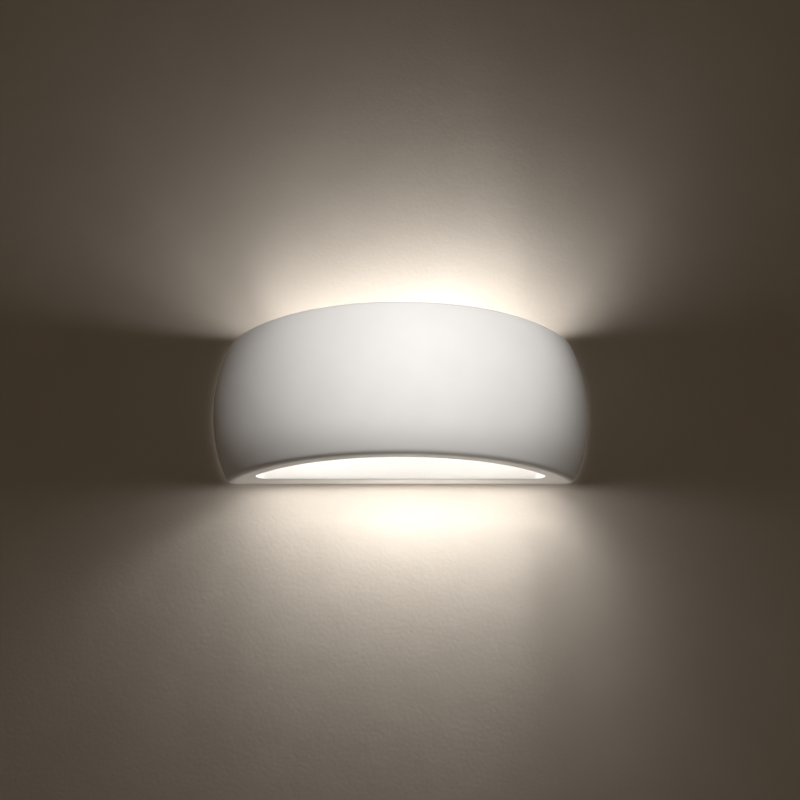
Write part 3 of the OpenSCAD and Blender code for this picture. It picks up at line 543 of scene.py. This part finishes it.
# Lamp: screwed into the holder. Its cap is pressed from thin nickel-plated sheet with a rolled thread,
# with a soldered contact in black glass; the housing is white plastic and the globe blown opal plastic.
solder = finish("solder", (0.62, 0.62, 0.61), (0.45, 0.45, 0.45), 0.35, metallic=1.0, blot=0.0015)
black_glass = finish("black_glass", (0.02, 0.02, 0.03), (0.012, 0.012, 0.02), 0.12, blot=0.003,
                     uneven=0.04)
board_mask = finish("board_mask", (0.82, 0.82, 0.78), (0.78, 0.78, 0.74), 0.4, blot=0.004)
dress("bulb_centre_contact", solder, 0)
dress("bulb_insulator", black_glass, 0.2 * mm)
dress("bulb_light_board", board_mask, 0.1 * mm)

cap_foot, cap_shoulder, cap_end = 6.5 * mm, 9 * mm, 27 * mm
cap_foot_in_r, cap_foot_r, cap_foot_round = 11.05 * mm, 11.75 * mm, 0.4 * mm
cap_wall, cap_curl, cap_draw = 0.35 * mm, 0.5 * mm, 0.15 * mm
cap_thread_to = 20 * mm
cap_outline = [(cap_foot, 0), (cap_foot, cap_foot_in_r), (cap_foot + cap_foot_round, cap_foot_r)]
cap_outline += [(u, lamp_thread_r) for u in steps(cap_shoulder, cap_thread_to, 60)]
cap_outline += [(cap_end - cap_curl, lamp_thread_r), (cap_end, lamp_thread_r - cap_draw),
                (cap_end, lamp_thread_r - cap_wall), (cap_thread_to, lamp_thread_r - cap_wall),
                (cap_thread_to, 0)]
lamp_cap = turned("lamp_cap", cap_outline, (tip_x, lamp_y, 0), (1, 0, 0), 128,
                  (cap_foot, cap_thread_to, thread_pitch, thread_depth))
cap_nickel = finish("cap_nickel", (0.76, 0.74, 0.70), (0.66, 0.64, 0.60), 0.2, metallic=1.0,
                    blot=0.004, grain=0.0003, depth=0.000003)
stands_for(lamp_cap, "bulb_screw_cap", "bulb", "bulb_nickel", cap_nickel)

globe_u, globe_r, globe_wall = 78 * mm, 30 * mm, 1.2 * mm
rim_u = 60 * mm
globe_rim_r = math.sqrt(globe_r**2 - (globe_u - rim_u)**2)
neck_r = lamp_thread_r + 0.5 * mm
housing_l = rim_u - cap_end
housing_rim_r = globe_rim_r + 0.6 * mm
flare_r = ((housing_rim_r - neck_r) ** 2 + housing_l**2) / (2 * (housing_rim_r - neck_r))
fit_gap = 0.1 * mm
inside_r = lamp_thread_r - cap_wall - fit_gap
housing_wall, neck_break, rim_break = 2 * mm, 0.2 * mm, 0.3 * mm
flare_from, flare_to = 0.5 * mm, housing_l - 0.4 * mm
rim_t, seat_t = 1.6 * mm, 3.4 * mm
housing_outline = [(cap_thread_to, inside_r - housing_wall), (cap_thread_to, inside_r),
                   (cap_end, inside_r), (cap_end, neck_r - neck_break), (cap_end + neck_break, neck_r)]
for u in steps(flare_from, flare_to, 40):
    housing_outline.append((cap_end + u, neck_r + flare_r - math.sqrt(flare_r**2 - u**2)))
board_u = rim_u - 5 * mm
housing_outline += [(rim_u, housing_rim_r - rim_break), (rim_u, housing_rim_r - rim_t),
                    (board_u + rim_t, housing_rim_r - seat_t), (board_u - fit_gap, inside_r),
                    (board_u - fit_gap, inside_r - housing_wall)]
housing = turned("lamp_housing", housing_outline, (tip_x, lamp_y, 0), (1, 0, 0), 128)
housing_white = finish("housing_white", (0.84, 0.84, 0.82), (0.81, 0.81, 0.79), 0.36, blot=0.01)
stands_for(housing, "bulb_housing", "bulb", "bulb_plastic", housing_white)

outside = [(globe_u + globe_r * math.sin(a), globe_r * math.cos(a))
           for a in steps(-math.acos(globe_rim_r / globe_r), math.pi / 2, 64)]
globe_in_r = globe_r - globe_wall
rim_in_r = math.sqrt(globe_in_r**2 - (globe_u - rim_u)**2)
inside = [(globe_u + globe_in_r * math.sin(a), globe_in_r * math.cos(a))
          for a in steps(math.pi / 2, -math.acos(rim_in_r / globe_in_r), 40)]
globe_outline = [(u, r if r > 1e-6 else 0) for u, r in outside + inside]
globe = turned("opal_globe", globe_outline + [globe_outline[0]], (tip_x, lamp_y, 0), (1, 0, 0), 128)
opal = finish("opal", (0.92, 0.90, 0.86), (0.90, 0.88, 0.84), 0.3, blot=0.01)
glow_power = 1.6
opal_shader = opal.node_tree.nodes["Principled BSDF"]
opal_shader.inputs["Emission Color"].default_value = (1.0, 0.965, 0.92, 1)
opal_shader.inputs["Emission Strength"].default_value = glow_power
stands_for(globe, "bulb_globe", "bulb", "opal_globe", opal)

# Stage: a painted wall that is clear from behind and casts no shadow, so that it hides nothing, and
# a plain pale floor far below.


def flat_sheet(name, centre, half_a, half_b, material):
    """A flat sheet, from its middle and half of each side, that is no part of the lamp."""
    mesh = bpy.data.meshes.new(name)
    corners = [centre + half_a * i + half_b * j for i, j in ((-1, -1), (1, -1), (1, 1), (-1, 1))]
    mesh.from_pydata(corners, [], [(0, 1, 2, 3)])
    sheet = bpy.data.objects.new(name, mesh)
    sheet.data.materials.append(material)
    bpy.context.scene.collection.objects.link(sheet)
    return sheet


wall_paint = finish("wall_paint", (0.74, 0.665, 0.58), (0.71, 0.635, 0.55), 0.85, blot=0.06,
                    grain=0.003, depth=0.0001, waves=(0.03, 0.0003))
tree = wall_paint.node_tree
face_side = tree.nodes.new("ShaderNodeNewGeometry")
clear = tree.nodes.new("ShaderNodeBsdfTransparent")
either = tree.nodes.new("ShaderNodeMixShader")
tree.links.new(face_side.outputs["Backfacing"], either.inputs["Fac"])
tree.links.new(tree.nodes["Principled BSDF"].outputs[0], either.inputs[1])
tree.links.new(clear.outputs[0], either.inputs[2])
tree.links.new(either.outputs[0], tree.nodes["Material Output"].inputs["Surface"])
wall = flat_sheet("painted_wall", Vector((0, 0.6 * mm, 0)), Vector((2, 0, 0)), Vector((0, 0, 1.4)),
                  wall_paint)
wall.visible_shadow = False
floor_grey = finish("floor_grey", (0.62, 0.60, 0.57), (0.60, 0.58, 0.55), 0.8, blot=0.3)
flat_sheet("pale_floor", Vector((0, 0, -1.4)), Vector((4, 0, 0)), Vector((0, 4, 0)), floor_grey)

# Studio light: two soft lights in front that reach the lamp but not the wall, and two behind the wall.
# Soft ones inside even out the body's inside and the glow on the wall, two carry the wall's light back
# to the body's rims, and the sky is dim and warm.
sky = bpy.data.worlds.new("sky")
bpy.context.scene.world = sky
sky.use_nodes = True
sky.node_tree.nodes["Background"].inputs["Color"].default_value = (1.0, 0.78, 0.53, 1)
sky.node_tree.nodes["Background"].inputs["Strength"].default_value = 0.057
lamp_middle = Vector((0, -60 * mm, 0))


def only_on(light, pieces, state):
    """Lets a light reach only these pieces, or all but these."""
    group = bpy.data.collections.new(light.name + "_reach")
    for piece in pieces:
        group.objects.link(piece)
    for member in group.collection_objects:
        member.light_linking.link_state = state
    light.light_linking.receiver_collection = group


def add_lamp(light, power, colour, place, aim=None):
    """Sets up a light at a place, facing another if one is given, that the camera itself doesn't see."""
    light.energy = power
    light.color = colour
    lamp = bpy.data.objects.new(light.name, light)
    lamp.location = place
    if aim is not None:
        lamp.rotation_euler = (Vector(place) - Vector(aim)).to_track_quat("Z", "Y").to_euler()
    bpy.context.scene.collection.objects.link(lamp)
    lamp.visible_camera = False
    return lamp


def seen_from(azimuth, elevation, distance):
    """The place at a distance from the lamp's middle, by degrees from its front and from level."""
    a, e = math.radians(azimuth), math.radians(elevation)
    outward = Vector((math.sin(a) * math.cos(e), -math.cos(a) * math.cos(e), math.sin(e)))
    return lamp_middle + outward * distance


def front_light(name, place, aim, half_angle, wide, blend, power):
    """A pool of light on the body's front, with a soft edge, stretched sideways by wide."""
    light = bpy.data.lights.new(name, "SPOT")
    light.spot_size = 2 * math.radians(half_angle)
    light.spot_blend = blend
    light.shadow_soft_size = 18 * mm
    lamp = add_lamp(light, power, (1, 0.985, 0.97), place, aim)
    lamp.scale = (wide, 1, 1)
    only_on(lamp, [wall], "EXCLUDE")


def back_light(name, azimuth, elevation, power):
    """A large soft light behind the lamp, which the wall lets through."""
    light = bpy.data.lights.new(name, "AREA")
    light.shape = "DISK"
    light.size, distance = 0.8, 1.5
    lamp = add_lamp(light, power, (1, 1, 1), seen_from(azimuth, elevation, distance), lamp_middle)
    only_on(lamp, [wall], "EXCLUDE")


front_light("key", seen_from(13, 26, 0.88), (17 * mm, -100 * mm, 37 * mm), 10.3, 1.05, 0.56, 19.5)
front_light("fill", seen_from(3, 0, 0.466), (6 * mm, -100 * mm, 11 * mm), 10.2, 2.6, 0.40, 2.55)
back_light("back_high", 178, 28, 6)
back_light("back_low", -178, -5, 6)


def small_light(name, x, y, z, radius, power, reaches, passes, colour=(1, 1, 1)):
    """A soft light at a place in millimetres. It lights one piece only, and the pieces that it passes
    cast no shadow from it."""
    light = bpy.data.lights.new(name, "POINT")
    light.shadow_soft_size = radius * mm
    lamp = add_lamp(light, power, colour, (x * mm, y * mm, z * mm))
    only_on(lamp, [reaches], "INCLUDE")
    group = bpy.data.collections.new(name + "_passes")
    for piece in passes:
        group.objects.link(piece)
    for member in group.collection_objects:
        member.light_linking.link_state = "EXCLUDE"
    lamp.light_linking.blocker_collection = group


shading = (ceramic_body, wall, studs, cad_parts["wall_bar"])
clear_way = [piece for piece in bpy.data.objects if piece.type == "MESH" and piece not in shading]
for name, x, power in (("inside_left", -105, 0.10), ("inside_middle", -40, 0.11),
                       ("inside_right", 90, 0.07)):
    small_light(name, x, -60, 0, 20, power, ceramic_body, clear_way, (1, 0.985, 0.965))
for name, x, y, z, power in (("glow_low_left", -90, -55, -52, 0.10),
                             ("glow_low_front", 0, -80, -52, 0.23),
                             ("glow_low_right", 90, -55, -52, 0.13),
                             ("glow_high_left", -60, -55, 40, 0.16),
                             ("glow_far_left", -115, -32, 20, 0.29),
                             ("glow_front", 30, -80, 0, 0.19),
                             ("glow_high_front", 30, -80, 40, 0.34),
                             ("glow_high_right", 60, -80, 40, 0.38),
                             ("glow_far_right", 130, -28, 0, 1.9)):
    small_light(name, x, y, z, 15, power, wall, clear_way)
for name, z in (("from_wall_above", 160), ("from_wall_below", -160)):
    small_light(name, 20, -12, z, 30, 0.17, ceramic_body, clear_way, (1, 0.94, 0.87))
bpy.context.scene.view_settings.view_transform = "Standard"

# Camera: below the lamp and looking up at it, as in the photograph, with a long lens.
focal_px, picture_px = 1255, 800
rise = math.radians(16.5)
lamp_px = (400.5, 412.6)
distance = 1.079
camera = bpy.data.objects.new("camera", bpy.data.cameras.new("camera"))
camera.data.sensor_width = 36
camera.data.lens = camera.data.sensor_width * focal_px / picture_px
camera.location = (0, -distance * math.cos(rise), -distance * math.sin(rise))
pan = math.atan((lamp_px[0] - picture_px / 2) / focal_px)
tilt = math.atan((lamp_px[1] - picture_px / 2) / focal_px)
camera.rotation_euler = (math.pi / 2 + rise + tilt, 0, pan)
bpy.context.scene.collection.objects.link(camera)
bpy.context.scene.camera = camera
